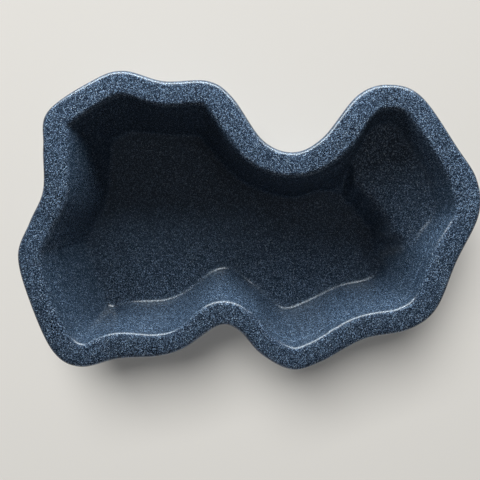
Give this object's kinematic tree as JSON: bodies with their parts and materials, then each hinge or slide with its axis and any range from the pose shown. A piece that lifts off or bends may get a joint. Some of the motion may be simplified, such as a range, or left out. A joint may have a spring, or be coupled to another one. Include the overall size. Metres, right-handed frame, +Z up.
{
  "type": "bonsai pot",
  "caption": "Free-form glazed tray pot with a wavy outline, a wide flat overhanging rim, an open basin with one raised shelf, and low feet.",
  "frame": {"origin": "middle of the rim's outline, on the surface that the feet rest on", "axes": "+X along the length towards the lobe with the shelf, +Y across the width towards the deep notch, +Z up out of the mouth"},
  "size_m": [0.32, 0.207, 0.067],
  "materials": {
    "glaze": "gloss",
    "clay": "matt"
  },
  "bodies": {
    "root": {"floor_slab": "glaze", "wall_left": "glaze", "wall_back": "glaze", "wall_right": "glaze", "wall_front": "glaze", "rim_band": "glaze", "foot_back_left": "clay", "foot_front_left": "clay", "foot_front_right": "clay", "foot_back_right": "clay"}
  },
  "joints": []
}
